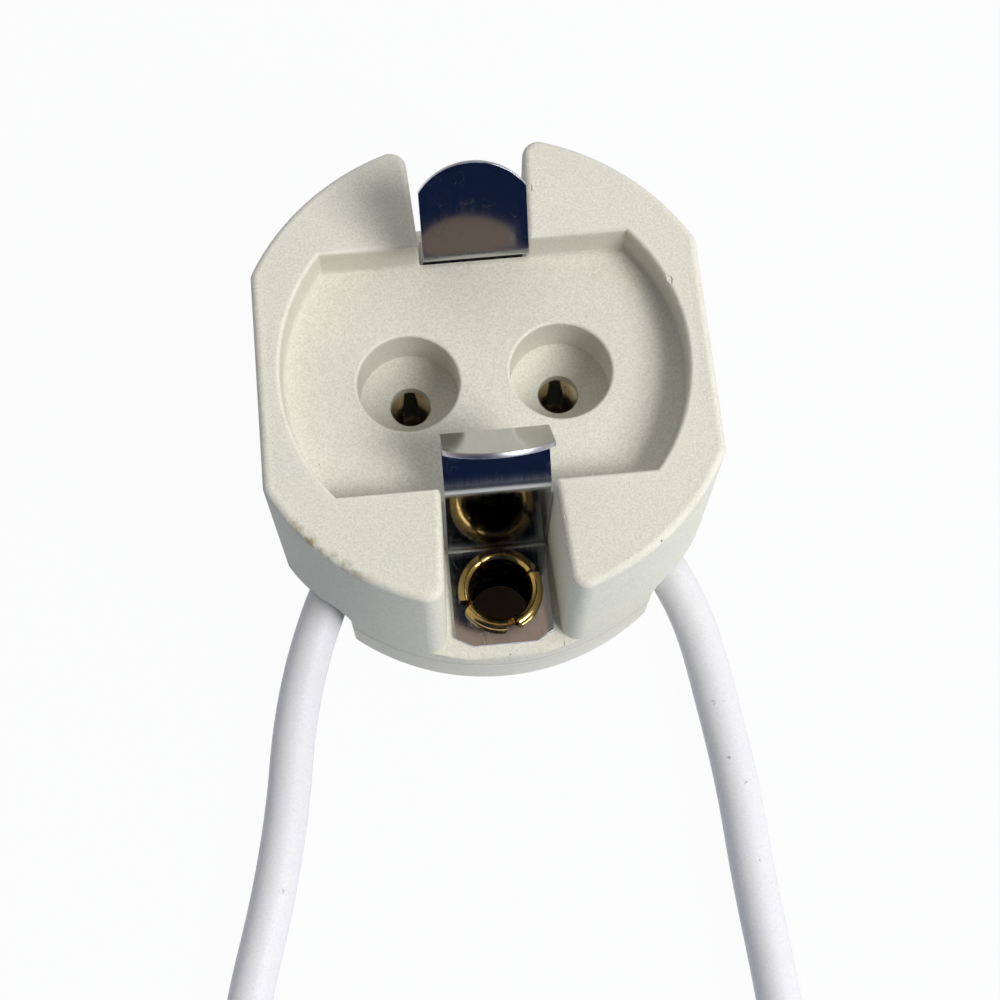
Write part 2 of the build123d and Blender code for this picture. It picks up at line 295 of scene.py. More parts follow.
    def joined(self, **axes: Value) -> Output:
        """A place from its X, Y and Z, with 0 for an axis that isn't given."""
        return self.add("ShaderNodeCombineXYZ", **axes).outputs[0]

    def from_axis(self, x: Output, y: Output) -> Output:
        """The distance from the holder's own upright axis."""
        return self.maths("SQRT", self.maths("MULTIPLY_ADD", x, x, self.times(y, y)))

    def scaled(self, colour: Colour, factor: Value) -> Output:
        """A colour made lighter or darker.

        Args:
            colour: The colour.
            factor: What it is multiplied by.

        Returns:
            The new colour.
        """
        node = self.add("ShaderNodeVectorMath", {"operation": "SCALE"})
        self.put(node.inputs[0], colour)
        self.put(node.inputs["Scale"], factor)
        return node.outputs[0]

    def shade(self, shader: bpy.types.Node, colour: Colour, roughness: Value, normal: Output) -> None:
        """Feed a shader.

        Args:
            shader: The shader.
            colour: Its base colour.
            roughness: Its roughness.
            normal: Its normal.
        """
        for name, value in (("Base Color", colour), ("Roughness", roughness), ("Normal", normal)):
            self.put(shader.inputs[name], value)

    def specks(self, place: Output, scale: float, size: float, share: float) -> Output:
        """Sparse round specks, from the shared group.

        Args:
            place: Where they are read.
            scale: Cells for each metre.
            size: A speck's size as a share of its cell.
            share: The share of the cells that have a speck.

        Returns:
            The specks' mask.
        """
        return self.group(SharedEffect.specks(), Place=place, Scale=scale, Size=size, Share=share)["Mask"]

    def group(self, tree: bpy.types.ShaderNodeTree, **inputs: Value | Colour) -> bpy.types.NodeOutputs:
        """Place a shader node group.

        Args:
            tree: The group.
            inputs: Its inputs by name, with underscores for spaces.

        Returns:
            Its outputs.
        """
        node = self.tree.nodes.new("ShaderNodeGroup")
        node.node_tree = tree
        for name, value in inputs.items():
            self.put(node.inputs[name.replace("_", " ")], value)
        return node.outputs


class SharedEffect:
    """A shader node group that several finishes use, built once."""

    made: ClassVar[dict[str, bpy.types.ShaderNodeTree]] = {}

    @classmethod
    def start(cls, name: str, inputs: dict,
              outputs: dict) -> tuple[Graph, bpy.types.NodeOutputs, bpy.types.Node]:
        """Make an empty group with its sockets.

        Args:
            name: The group's name.
            inputs: Each input's kind and default, by name.
            outputs: Each output's kind, by name.

        Returns:
            The graph, the group's inputs as outputs to link from, and its output node.
        """
        tree = bpy.data.node_groups.new(name, "ShaderNodeTree")
        for label, (kind, default) in inputs.items():
            socket = tree.interface.new_socket(name=label, in_out="INPUT", socket_type=kind.value)
            if default is not None:
                socket.default_value = default
        for label, kind in outputs.items():
            tree.interface.new_socket(name=label, in_out="OUTPUT", socket_type=kind.value)
        graph = Graph(tree)
        entry = graph.add("NodeGroupInput")
        leave = graph.add("NodeGroupOutput")
        cls.made[name] = tree
        return graph, entry.outputs, leave

    @classmethod
    def grain(cls) -> bpy.types.ShaderNodeTree:
        """Fine and coarse grain: Value swings about 0.5, and Patches swings slowly."""
        if "grain" not in cls.made:
            graph, entry, leave = cls.start(
                "grain",
                {"Place": (Socket.VECTOR, None), "Fine": (Socket.VALUE, 6000.0),
                 "Broad": (Socket.VALUE, 160.0)},
                {"Value": Socket.VALUE, "Patches": Socket.VALUE},
            )
            fine = graph.noise(entry["Place"], entry["Fine"], 2.0, 0.6)
            middle = graph.noise(entry["Place"], graph.times(entry["Fine"], 0.36), 2.0, 0.5)
            both = graph.maths("MULTIPLY_ADD", fine, 0.84, graph.times(middle, 0.16))
            graph.put(leave.inputs["Value"], both)
            graph.put(leave.inputs["Patches"], graph.noise(entry["Place"], entry["Broad"], 3.0, 0.55))
        return cls.made["grain"]

    @classmethod
    def specks(cls) -> bpy.types.ShaderNodeTree:
        """Sparse round specks: Mask is 1 in a speck."""
        if "specks" not in cls.made:
            graph, entry, leave = cls.start(
                "specks",
                {"Place": (Socket.VECTOR, None), "Scale": (Socket.VALUE, 400.0),
                 "Size": (Socket.VALUE, 0.12), "Share": (Socket.VALUE, 0.2)},
                {"Mask": Socket.VALUE},
            )
            cells = graph.add("ShaderNodeTexVoronoi", Vector=entry["Place"], Scale=entry["Scale"])
            draw = graph.axes(cells.outputs["Color"])
            size = graph.times(entry["Size"], graph.maths("ADD", draw["Y"], 0.3))
            inside = graph.minus(1.0, graph.maths("DIVIDE", cells.outputs["Distance"], size))
            chosen = graph.maths("LESS_THAN", draw["X"], entry["Share"])
            soft = graph.ramp(inside, 0.0, 0.5)
            graph.put(leave.inputs["Mask"], graph.times(soft, chosen))
        return cls.made["specks"]

    @classmethod
    def scratches(cls) -> bpy.types.ShaderNodeTree:
        """Thin straight scratches along X of the place that is read: Mask is 1 in a scratch."""
        if "scratches" not in cls.made:
            graph, entry, leave = cls.start(
                "scratches",
                {"Place": (Socket.VECTOR, None), "Scale": (Socket.VALUE, 900.0),
                 "Thinness": (Socket.VALUE, 0.02)},
                {"Mask": Socket.VALUE},
            )
            lines = graph.noise(graph.stretched(entry["Place"], (0.06, 1.0, 1.0)), entry["Scale"], 2.0, 0.4)
            away = graph.size_of(graph.minus(lines, 0.5))
            thin = graph.minus(1.0, graph.maths("DIVIDE", away, entry["Thinness"]))
            broken = graph.ramp(graph.noise(entry["Place"], 700.0, 1.0), 0.52, 0.62)
            graph.put(leave.inputs["Mask"], graph.times(graph.ramp(thin, 0.0, 1.0), broken))
        return cls.made["scratches"]


@dataclass(frozen=True)
class Finish:
    """What every finish has: a name, and the shader's plain values."""

    name: str
    colour: Triple
    roughness: float
    metallic: float = 0.0

    @cache
    def material(self) -> bpy.types.Material:
        """Make the material once.

        Returns:
            The material.
        """
        made = bpy.data.materials.new(self.name)
        made.use_nodes = True
        graph = Graph(made.node_tree)
        shader = graph.add("ShaderNodeBsdfPrincipled", Roughness=self.roughness, Metallic=self.metallic)
        shader.inputs["Base Color"].default_value = (*self.colour, 1.0)
        graph.add("ShaderNodeOutputMaterial", Surface=shader.outputs[0])
        self.detail(graph, shader, graph.object_place())
        made.diffuse_color = (*self.colour, 1.0)
        return made

    def detail(self, graph: Graph, shader: bpy.types.Node, place: Output) -> None:
        """Add the finish's own detail.

        Args:
            graph: The material's graph.
            shader: Its shader.
            place: The object coordinates.
        """


@dataclass(frozen=True)
class Steatite(Finish):
    """Unglazed pressed steatite: fine grain, pits, specks, worn rims and a little dirt."""

    warm: Triple = (0.82, 0.805, 0.70)
    cool: Triple = (0.765, 0.775, 0.70)
    worn: Triple = (0.88, 0.855, 0.78)
    speck: Triple = (0.10, 0.10, 0.085)
    dirt: Triple = (0.42, 0.34, 0.20)
    recess_half_width: float = 10.0 * MM
    recess_radius: float = 15.7 * MM
    recess_depth: float = 3.35 * MM
    well_radius: float = 4.1 * MM
    pin_place: float = 6.0 * MM
    flat: float = 17.5 * MM
    round: float = 19.6 * MM
    top: float = 22.5 * MM
    grain_scale: float = 5600.0
    patch_scale: float = 120.0
    grain_tones: Pair = (0.875, 1.09)
    grain_roughness: Pair = (0.55, 0.78)
    grain_height: float = 0.04 * MM
    wave_height: float = 0.10 * MM
    pit_depth: float = 0.02 * MM
    crumb_height: float = 0.10 * MM
    wear_share: float = 0.6
    parting_height: float = 4.4 * MM
    # Where the painted shadow line over the parting ridge lies, how dark it is, and how pale the ridge is
    # painted as wear and highlight.
    parting_shadow: float = 0.62 * MM
    parting_tone: float = 0.84
    parting_wear: float = 0.75
    parting_rise: float = 0.20 * MM
    # Painted shade: how much the recess's inner wall and the pin wells are darkened in colour.
    wall_dullness: float = 0.18
    well_dullness: float = 0.17
    stains: tuple[tuple[Triple, float, float], ...] = (
        ((-14.6 * MM, -13.2 * MM, 22.3 * MM), 0.6 * MM, 3.2 * MM),
        ((-12.0 * MM, -15.3 * MM, 22.3 * MM), 0.4 * MM, 2.8 * MM),
    )

    def rims(self, graph: Graph, place: Output) -> tuple[Output, ...]:
        """Masks of the recess's rim, of the outer top edge and of the recess's wall.

        Args:
            graph: The material's graph.
            place: The object coordinates.

        Returns:
            The three masks.
        """
        x, y, z = graph.axes(place)
        across = graph.size_of(x)
        along = graph.size_of(y)
        away = graph.from_axis(x, y)
        recess = graph.either(graph.minus(along, self.recess_half_width),
                              graph.minus(away, self.recess_radius))
        outer = graph.either(graph.minus(across, self.flat), graph.minus(away, self.round))
        high = graph.ramp(z, self.top - 0.9 * MM, self.top - 0.25 * MM)
        masks = []
        for distance, width in ((recess, 0.75 * MM), (outer, 1.0 * MM)):
            close = graph.ramp(graph.size_of(distance), 0.15 * MM, width, 1.0, 0.0)
            masks.append(graph.times(close, high))
        beside = graph.ramp(graph.size_of(recess), 0.12 * MM, 0.40 * MM, 1.0, 0.0)
        below = graph.ramp(z, self.top - 0.45 * MM, self.top - 0.15 * MM, 1.0, 0.0)
        above = graph.ramp(z, self.top - self.recess_depth - 0.2 * MM, self.top - self.recess_depth)
        masks.append(graph.times(graph.times(beside, below), above))
        return tuple(masks)

    def wells(self, graph: Graph, place: Output) -> Output:
        """A mask of the two pin wells, whose colour is darkened there as painted shade.

        Args:
            graph: The material's graph.
            place: The object coordinates.

        Returns:
            The mask.
        """
        x, y, z = graph.axes(place)
        flat_place = graph.joined(X=graph.size_of(x), Y=y)
        inside = graph.near(flat_place, (self.pin_place, 0.0, 0.0), self.well_radius,
                            self.well_radius + 0.3 * MM)
        floor = self.top - self.recess_depth
        return graph.times(inside, graph.ramp(z, floor - 0.5 * MM, floor - 0.1 * MM, 1.0, 0.0))

    def parting_line(self, graph: Graph, place: Output) -> tuple[Output, Output]:
        """The uneven ridge that the halves of the die left round the outside, and a painted shadow line
        over it.

        Args:
            graph: The material's graph.
            place: The object coordinates.

        Returns:
            The ridge's height, from 0 to 1, and the mask of the painted shadow line over it.
        """
        x, y, z = graph.axes(place)
        away = graph.from_axis(x, y)
        outside = graph.maths("GREATER_THAN", away, self.round - 0.5 * MM)
        wander = graph.ramp(graph.noise(place, 250.0, 3.0), 0.3, 0.7, -0.12 * MM, 0.12 * MM)
        level = graph.maths("ADD", graph.minus(z, self.parting_height), wander)
        ridge = graph.ramp(graph.size_of(level), 0.15 * MM, 0.42 * MM, 1.0, 0.0)
        lower = graph.ramp(level, -0.3 * MM, 0.1 * MM, 0.6, 0.0)
        over = graph.size_of(graph.minus(level, self.parting_shadow))
        parting_shadow_mask = graph.ramp(over, 0.05 * MM, 0.36 * MM, 1.0, 0.0)
        return graph.times(graph.either(ridge, lower), outside), graph.times(parting_shadow_mask, outside)

    def detail(self, graph: Graph, shader: bpy.types.Node, place: Output) -> None:
        """Grain, specks, pits, worn rims and dirt, with painted shade in the recess and the wells and a
        painted highlight and shadow at the parting line.

        Args:
            graph: The material's graph.
            shader: Its shader.
            place: The object coordinates.
        """
        grain = graph.group(SharedEffect.grain(), Place=place, Fine=self.grain_scale,
                            Broad=self.patch_scale)
        colour = graph.mix(graph.ramp(grain["Patches"], 0.30, 0.72, 0.15, 0.85), self.warm, self.cool)
        colour = graph.scaled(colour, graph.ramp(grain["Value"], 0.34, 0.66, *self.grain_tones))
        recess_rim, outer_rim, recess_wall = self.rims(graph, place)
        # Painted shade: the recess's inner wall and the pin wells are painted darker.
        dull = graph.either(graph.times(recess_wall, self.wall_dullness),
                            graph.times(self.wells(graph, place), self.well_dullness))
        colour = graph.scaled(colour, graph.minus(1.0, dull))
        uneven = graph.ramp(graph.noise(place, 520.0, 3.0), 0.38, 0.62)
        wear = graph.times(graph.either(recess_rim, outer_rim), uneven)
        colour = graph.mix(graph.times(wear, self.wear_share), colour, self.worn)
        dirty = graph.either(*(graph.near(place, *stain) for stain in self.stains))
        blots = graph.ramp(graph.noise(place, 1500.0, 4.0, 0.65), 0.46, 0.62)
        dirty = graph.times(graph.times(dirty, outer_rim), blots)
        colour = graph.mix(dirty, colour, self.dirt)
        parting, parting_shadow_mask = self.parting_line(graph, place)
        # The ridge is painted paler, partly as wear and partly as a painted highlight; the line over it is
        # darkened as a painted shadow.
        colour = graph.mix(graph.times(parting, self.parting_wear), colour, self.worn)
        colour = graph.scaled(colour, graph.ramp(parting_shadow_mask, 0.0, 1.0, 1.0, self.parting_tone))
        small = graph.specks(place, 520.0, 0.05, 0.16)
        pale = graph.specks(place, 620.0, 0.16, 0.10)
        colour = graph.mix(graph.times(pale, 0.5), colour, self.worn)
        colour = graph.mix(small, colour, self.speck)
        pits = graph.specks(place, 900.0, 0.28, 0.22)
        waves = graph.bump(grain["Patches"], self.wave_height, 0.5)
        dents = graph.bump(graph.minus(1.0, pits), self.pit_depth, 0.6, waves)
        crumbs = graph.times(graph.noise(place, 900.0, 3.0), outer_rim)
        edge = graph.bump(crumbs, self.crumb_height, 0.8, dents)
        seam = graph.bump(parting, self.parting_rise, 1.0, edge)
        rough = graph.ramp(grain["Value"], 0.3, 0.7, *self.grain_roughness)
        graph.shade(shader, colour, rough, graph.bump(grain["Value"], self.grain_height, 0.75, seam))


@dataclass(frozen=True)
class Strip(Finish):
    """Bright rolled strip: rolling lines, scratches, smudges, dull bends and rougher sheared edges."""

    dull: Triple = (0.40, 0.40, 0.41)
    # A bluish painted reflection on the sheared edges, which are also rougher.
    sheared: Triple = (0.62, 0.64, 0.74)
    # Painted shade: the colour that the upright part is darkened to.
    smoked: Triple = (0.20, 0.205, 0.225)
    bends: tuple[Pair, ...] = (
        (10.2 * MM, 22.6 * MM), (6.75 * MM, 25.7 * MM), (10.05 * MM, 7.2 * MM),
    )
    bend_radii: Pair = (0.55 * MM, 1.3 * MM)
    upright_foot: Pair = (8.2 * MM, 9.6 * MM)
    upright_head: Pair = (20.5 * MM, 22.0 * MM)
    line_scale: float = 9000.0
    line_height: float = 0.0015 * MM
    scratch_scale: float = 1500.0
    scratch_width: float = 0.006
    scratch_depth: float = 0.004 * MM
    scratch_turn: float = math.radians(80.0)
    mark_roughness: float = 0.22
    edge_roughness: float = 0.32

    def detail(self, graph: Graph, shader: bpy.types.Node, place: Output) -> None:
        """Rolling lines, scratches, smudges, a painted shade on the strip's upright part and a painted
        reflection tint on its sheared edges.

        Args:
            graph: The material's graph.
            shader: Its shader.
            place: The object coordinates.
        """
        lines = graph.noise(graph.stretched(place, (1.0, 0.04, 0.04)), self.line_scale, 2.0)
        smudges = graph.ramp(graph.noise(place, 420.0, 4.0, 0.6), 0.5, 0.72)
        turned = graph.add("ShaderNodeMapping", Vector=place)
        turned.inputs["Rotation"].default_value = (0.0, 0.0, self.scratch_turn)
        scratches = graph.group(SharedEffect.scratches(), Place=turned.outputs[0],
                                Scale=self.scratch_scale, Thinness=self.scratch_width)["Mask"]
        marks = graph.either(graph.times(smudges, 0.25), scratches)
        edge = graph.add("ShaderNodeAttribute", {"attribute_name": SHEARED}).outputs["Fac"]
        _, y, z = graph.axes(place)
        # Painted shade: the upright part, between foot and tab, is painted darker.
        upright = graph.times(graph.ramp(z, *self.upright_foot),
                              graph.ramp(z, *self.upright_head, 0.8, 0.0))
        rolled_colour = graph.mix(upright, graph.mix(marks, self.colour, self.dull), self.smoked)
        section = graph.joined(Y=graph.size_of(y), Z=z)
        bent = 0.0
        for along, height in self.bends:
            here = graph.near(section, (0.0, along, height), *self.bend_radii)
            bent = graph.either(bent, here)
        marks = graph.either(marks, bent)
        rolling = graph.ramp(lines, 0.3, 0.7, self.roughness * 0.7, self.roughness * 1.3)
        rolled_roughness = graph.maths("ADD", rolling, graph.times(marks, self.mark_roughness))
        rolled = graph.bump(lines, self.line_height, 0.35)
        # The sheared edges take the bluish painted-reflection colour and a higher roughness.
        graph.shade(shader, graph.mix(edge, rolled_colour, self.sheared),
                    graph.maths("MULTIPLY_ADD", edge, self.edge_roughness, rolled_roughness),
                    graph.bump(scratches, self.scratch_depth, 0.5, rolled))


@dataclass(frozen=True)
class SetBrass(Finish):
    """Brass that was rolled over by a setting tool: darkened folds, faint tool lines and tarnish."""

    tarnish: Triple = (0.20, 0.12, 0.045)
    patch_scale: float = 800.0
    dot_scale: float = 1600.0
    tool_scale: float = 3500.0
    tool_height: float = 0.012 * MM
    rougher: float = 0.3

    def detail(self, graph: Graph, shader: bpy.types.Node, place: Output) -> None:
        """Tarnish and tool lines.

        Args:
            graph: The material's graph.
            shader: Its shader.
            place: The object coordinates.
        """
        patches = graph.ramp(graph.noise(place, self.patch_scale, 4.0, 0.6), 0.42, 0.72)
        dots = graph.specks(place, self.dot_scale, 0.4, 0.25)
        dark = graph.either(graph.times(patches, 0.5), graph.times(dots, 0.6))
        graph.shade(shader, graph.mix(dark, self.colour, self.tarnish),
                    graph.ramp(dark, 0.0, 1.0, self.roughness, self.roughness + self.rougher),
                    graph.bump(graph.noise(place, self.tool_scale, 3.0), self.tool_height, 0.4))


@dataclass(frozen=True)
class Sheet(Finish):
    """Pressed mica sheet: overlapping flakes with a satin glint."""

    pale: Triple = (0.74, 0.70, 0.60)
    flake_scale: float = 420.0
    flake_height: float = 0.03 * MM
    uneven: float = 0.1

    def detail(self, graph: Graph, shader: bpy.types.Node, place: Output) -> None:
        """Flakes and their edges.

        Args:
            graph: The material's graph.
            shader: Its shader.
            place: The object coordinates.
        """
        layered = graph.stretched(place, (1.0, 1.0, 0.3))
        flakes = graph.add("ShaderNodeTexVoronoi", Vector=layered, Scale=self.flake_scale)
        draw = graph.axes(flakes.outputs["Color"])
        graph.shade(shader, graph.mix(draw["X"], self.colour, self.pale),
                    graph.ramp(draw["Y"], 0.0, 1.0, self.roughness - self.uneven,
                               self.roughness + self.uneven),
                    graph.bump(draw["Z"], self.flake_height, 0.4))


@dataclass(frozen=True)
class Rubber(Finish):
    """White silicone rubber: smooth, with handling marks, dust and torn flecks at places given in mm."""

    mark: Triple = (0.60, 0.60, 0.62)
    dirt: Triple = (0.16, 0.16, 0.18)
    smear_scale: float = 300.0
    grain_scale: float = 5000.0
    patch_scale: float = 150.0
    torn_scale: float = 4200.0
    swell_scale: float = 260.0
    swell_height: float = 0.05 * MM
    skin_height: float = 0.01 * MM
    rougher: float = 0.15
    flecks: tuple[tuple[float, float, float, float], ...] = (
        (-17.05, -13.35, 3.4, 0.42), (-15.1, -13.7, 3.4, 0.34), (-15.25, -18.8, 3.4, 0.26),
        (-16.9, -27.1, 3.5, 0.24), (-18.3, -33.0, 3.5, 0.20), (-19.6, -36.2, 3.5, 0.28),
        (16.75, -24.3, 3.5, 0.26), (17.55, -24.3, 3.5, 0.18), (17.4, -29.0, 3.5, 0.20),
        (18.5, -31.2, 3.5, 0.30), (-17.7, -23.0, 3.5, 0.18), (18.7, -37.5, 3.5, 0.18),
    )

    def detail(self, graph: Graph, shader: bpy.types.Node, place: Output) -> None:
        """Handling marks, dust, flecks and a soft unevenness.

        Args:
            graph: The material's graph.
            shader: Its shader.
            place: The object coordinates.
        """
        smears = graph.ramp(graph.noise(place, self.smear_scale, 4.0, 0.6), 0.54, 0.80, 0.0, 0.30)
        dust = graph.specks(place, 520.0, 0.07, 0.12)
        marks = graph.either(smears, graph.times(dust, 0.55))
        grain = graph.group(SharedEffect.grain(), Place=place, Fine=self.grain_scale,
                            Broad=self.patch_scale)["Value"]
        marks = graph.either(marks, graph.ramp(grain, 0.40, 0.72, 0.0, 0.34))
        flecked = 0.0
        for x, y, z, radius in self.flecks:
            patch = graph.near(place, (x * MM, y * MM, z * MM), 0.3 * radius * MM, radius * MM)
            flecked = graph.either(flecked, patch)
        torn = graph.ramp(graph.noise(place, self.torn_scale, 3.0), 0.44, 0.58)
        colour = graph.mix(marks, self.colour, self.mark)
        swell = graph.bump(graph.noise(place, self.swell_scale, 2.0), self.swell_height, 0.4)
        graph.shade(shader, graph.mix(graph.times(flecked, torn), colour, self.dirt),
                    graph.ramp(marks, 0.0, 0.6, self.roughness, self.roughness + self.rougher),
                    graph.bump(graph.noise(place, self.torn_scale, 2.0), self.skin_height, 0.3, swell))


@dataclass(frozen=True)
class Solder(Finish):
    """Tinned copper: soft uneven solder over the strands."""

    dull: Triple = (0.52, 0.52, 0.53)
    patch_scale: float = 1400.0
    ripple_scale: float = 2600.0
    ripple_height: float = 0.02 * MM
    rougher: float = 0.2

    def detail(self, graph: Graph, shader: bpy.types.Node, place: Output) -> None:
        """Dull patches and a rippled skin.

        Args:
            graph: The material's graph.
            shader: Its shader.
            place: The object coordinates.
        """
        dull = graph.ramp(graph.noise(place, self.patch_scale, 3.0), 0.42, 0.64)
        graph.shade(shader, graph.mix(dull, self.colour, self.dull),
                    graph.ramp(dull, 0.0, 1.0, self.roughness, self.roughness + self.rougher),
                    graph.bump(graph.noise(place, self.ripple_scale, 2.0), self.ripple_height, 0.4))


STEATITE = Steatite("fired_steatite", (0.79, 0.77, 0.71), 0.66)
STAINLESS = Strip("stainless_strip", (0.46, 0.475, 0.485), 0.09, metallic=1.0)
SPRING_STEEL = Strip("spring_steel", (0.50, 0.50, 0.52), 0.24, metallic=1.0)
BRASS = SetBrass("rivet_brass", (0.66, 0.47, 0.17), 0.17, metallic=1.0)
CONTACT_BRASS = SetBrass("plated_brass", (0.93, 0.88, 0.72), 0.30, metallic=1.0, tarnish=(0.55, 0.47, 0.30))
MICA = Sheet("mica_sheet", (0.55, 0.50, 0.41), 0.36)
SILICONE = Rubber("white_silicone", (0.85, 0.85, 0.905), 0.46)
TINNED_COPPER = Solder("tinned_strands", (0.74, 0.74, 0.76), 0.28, metallic=1.0)


def add_object(name: str, data: bpy.types.ID) -> bpy.types.Object:
    """Put a mesh, curve, light or camera in the scene.

    Args:
        name: The object's name.
        data: What it shows.

    Returns:
        The object.
    """
    made = bpy.data.objects.new(name, data)
    bpy.context.scene.collection.objects.link(made)
    return made


def turn(shape: bmesh.types.BMesh, verts: Sequence[bmesh.types.BMVert], angle: float,
         axis: str = "Z") -> None:
    """Turn some of a bmesh about an axis through its origin.

    Args:
        shape: The bmesh.
        verts: The vertices that turn.
        angle: By how much, in radians.
        axis: X, Y or Z.
    """
    bmesh.ops.rotate(shape, cent=ORIGIN, matrix=Matrix.Rotation(angle, 3, axis), verts=verts)


def new_piece(name: str, mesh: bpy.types.Mesh, finish: Finish) -> bpy.types.Object:
    """Make a piece of the holder from a finished mesh.

    Args:
        name: The piece's name.
        mesh: Its mesh, in the holder's frame.
        finish: Its finish.

    Returns:
        The piece, riding on the body.
    """
    piece = add_object(name, mesh)
    mesh.materials.append(finish.material())
    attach(piece, BODY)
    return piece


def merged_copy(node: str) -> bmesh.types.BMesh:
    """A copy of a CAD node's mesh with its loose triangles joined.

    Args:
        node: The node's name.

    Returns:
        The joined copy.
    """
    shape = bmesh.new()
    shape.from_mesh(frame["nodes"][node].data)
    bmesh.ops.remove_doubles(shape, verts=shape.verts, dist=JOINED_WITHIN)
    return shape


def to_mesh(shape: bmesh.types.BMesh, name: str, sharp_over: float) -> bpy.types.Mesh:
    """Turn a bmesh into a smooth-shaded mesh whose sharp edges stay sharp.

    Args:
        shape: The bmesh, which is freed.
        name: The mesh's name.
        sharp_over: The angle in degrees past which an edge is sharp.

    Returns:
        The mesh.
    """
    limit = math.radians(sharp_over)
    for face in shape.faces:
        face.smooth = True
    for edge in shape.edges:
        edge.smooth = len(edge.link_faces) == 2 and edge.calc_face_angle(0.0) < limit
    mesh = bpy.data.meshes.new(name)
    shape.to_mesh(mesh)
    shape.free()
    return mesh


def weigh_normals(piece: bpy.types.Object) -> None:
    """Let large flat faces keep their own shading next to small round ones."""
    modifier = piece.modifiers.new("flat_shading", "WEIGHTED_NORMAL")
    modifier.keep_sharp = True
    modifier.weight = FLAT_WEIGHT


def dress_node(node: str, finish: Finish) -> None:
    """Give a CAD node, which stays as it is, a better finish.

    Args:
        node: The node's name.
        finish: The finish.
    """
    piece = frame["nodes"][node]
    piece.data.materials.clear()
    piece.data.materials.append(finish.material())
    LOG.info("%s dressed in %s", node, finish.name)


@dataclass(frozen=True)
class Chip:
    """A piece broken out of an edge: place and half sizes in mm, angle in degrees, and seed."""

    place: Triple
    size: Triple
    angle: float
    seed: int
    swing: float = 0.38

    def tool(self) -> bmesh.types.BMesh:
        """A rough blob of the size that broke away.

        Returns:
            The blob, in the holder's frame.
        """
        blob = bmesh.new()
        bmesh.ops.create_icosphere(blob, subdivisions=3, radius=1.0)
        for vert in blob.verts:
            rough = noise.fractal(vert.co * 1.6 + Vector((self.seed * 3.1, 0.0, 0.0)), 0.8, 2.0, 3)
            vert.co *= 1.0 + self.swing * rough
        bmesh.ops.scale(blob, vec=Vector(self.size) * MM, verts=blob.verts)
        turn(blob, blob.verts, math.radians(self.angle))
        bmesh.ops.translate(blob, vec=Vector(self.place) * MM, verts=blob.verts)
        return blob


@dataclass
class CeramicBody:
    """The pressed steatite body, with the small chips that its edges have."""

    node: str = "ceramic_body"
    name: str = "steatite_body"
    sharp_over: float = 32.0
    chips: tuple[Chip, ...] = (
        Chip((14.90, 5.45, 22.54), (0.28, 0.46, 0.20), 20.0, 1),
        Chip((14.72, 5.02, 22.52), (0.16, 0.26, 0.14), 35.0, 2),
        Chip((9.20, 10.02, 22.56), (0.55, 0.12, 0.10), 3.0, 3),
        Chip((7.10, 9.99, 22.56), (0.40, 0.10, 0.09), -4.0, 4),
        Chip((-13.60, -14.15, 22.50), (0.42, 0.16, 0.14), -44.0, 5),
        Chip((-11.85, -15.55, 22.48), (0.55, 0.15, 0.13), -37.0, 6),
        Chip((5.06, 14.30, 22.47), (0.09, 0.34, 0.10), 4.0, 7),
        Chip((4.75, -13.20, 22.42), (0.08, 0.30, 0.10), 2.0, 8),
    )

    def chip_tools(self) -> bpy.types.Object:
        """All the chips' blobs as one object to cut with.

        Returns:
            The object.
        """
        blobs = bmesh.new()
        for chip in self.chips:
            part = chip.tool()
            mesh = bpy.data.meshes.new("chip")
            part.to_mesh(mesh)
            part.free()
            blobs.from_mesh(mesh)
            bpy.data.meshes.remove(mesh)
        mesh = bpy.data.meshes.new("chip_tools")
        blobs.to_mesh(mesh)
        blobs.free()
        return add_object("chip_tools", mesh)

    def build(self) -> bpy.types.Object:
        """Make the body and stand it in for the CAD node.

        Returns:
            The piece.
        """
        whole = to_mesh(merged_copy(self.node), self.name, self.sharp_over)
        piece = new_piece(self.name, whole, STEATITE)
        cutter = self.chip_tools()
        cut = piece.modifiers.new("chips", "BOOLEAN")
        cut.operation = "DIFFERENCE"
        cut.solver = "EXACT"
        cut.use_self = True
        cut.object = cutter
        chipped = bmesh.new()
        chipped.from_object(piece, bpy.context.evaluated_depsgraph_get())
        piece.modifiers.clear()
        bpy.data.objects.remove(cutter)
        piece.data = to_mesh(chipped, self.name, self.sharp_over)
        piece.data.materials.append(STEATITE.material())
        bpy.data.meshes.remove(whole)
        weigh_normals(piece)
        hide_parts(self.node)
        LOG.info("%s: %d faces, %d chips", self.name, len(piece.data.polygons), len(self.chips))
        return piece


